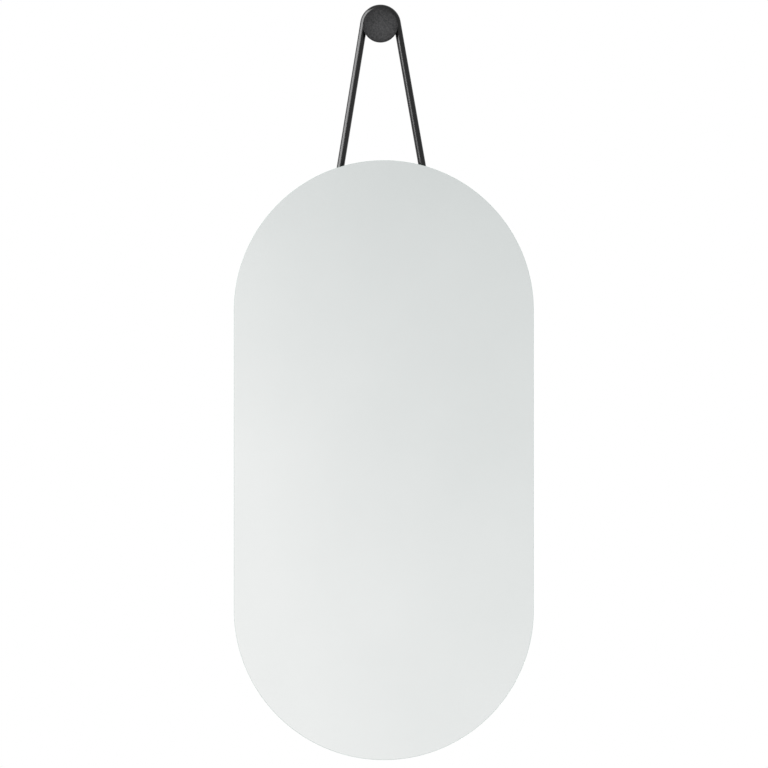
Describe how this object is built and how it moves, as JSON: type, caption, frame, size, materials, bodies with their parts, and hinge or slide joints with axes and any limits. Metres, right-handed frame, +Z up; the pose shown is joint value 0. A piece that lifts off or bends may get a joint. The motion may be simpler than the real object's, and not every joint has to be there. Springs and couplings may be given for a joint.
{
  "type": "wall mirror",
  "caption": "Frameless pill-shaped wall mirror that hangs by a round rubber cord looped over a turned wall knob.",
  "frame": {"origin": "the knob's axis on the wall plane", "axes": "+X to the viewer's right, +Y into the wall, +Z up; the mirror faces -Y"},
  "size_m": [0.4, 0.0645, 1.0077],
  "materials": {
    "glass": "clear float glass with polished edges",
    "silver": "silvered, with protective paint on the back",
    "film": "white woven-backed safety film",
    "foam": "closed-cell foam tape",
    "board": "raw medium-density fibreboard",
    "bumper_rubber": "matt soft rubber",
    "cord_rubber": "satin solid rubber cord",
    "knob_paint": "fine-textured black powder coat",
    "zinc_steel": "zinc plated",
    "black_steel": "black oxide",
    "nylon": "grey nylon"
  },
  "bodies": {
    "wall_knob": {"knob_base": "knob_paint", "knob_cap": "knob_paint", "cap_set_screw": "black_steel", "wall_screw": "zinc_steel", "wall_plug": "nylon"},
    "hanging_cord": {"hanging_cord": "cord_rubber"},
    "mirror_panel": {"mirror_glass": "glass", "silver_coating": "silver", "safety_film": "film", "tape_strip_1": "foam", "tape_strip_2": "foam", "tape_strip_3": "foam", "tape_strip_4": "foam", "backing_board": "board", "wall_bumper_lower_left": "bumper_rubber", "wall_bumper_lower_right": "bumper_rubber", "wall_bumper_upper_left": "bumper_rubber", "wall_bumper_upper_right": "bumper_rubber", "cord_end_left": "cord_rubber", "cord_end_right": "cord_rubber", "cord_ferrule_left": "zinc_steel", "cord_ferrule_right": "zinc_steel", "anchor_plate_left": "zinc_steel", "anchor_plate_right": "zinc_steel", "anchor_cover_left": "zinc_steel", "anchor_cover_right": "zinc_steel", "cover_screws_left": "zinc_steel", "cover_screws_right": "zinc_steel"}
  },
  "joints": [
    {"name": "sway", "type": "hinge", "parent": "wall_knob", "child": "hanging_cord", "pos_m": [0, -0.01, 0], "axis": [0, 1, 0], "range_deg": [-15, 15]},
    {"name": "tilt", "type": "hinge", "parent": "hanging_cord", "child": "mirror_panel", "pos_m": [0, -0.01, -0.196], "axis": [-1, 0, 0], "range_deg": [0, 20]}
  ]
}
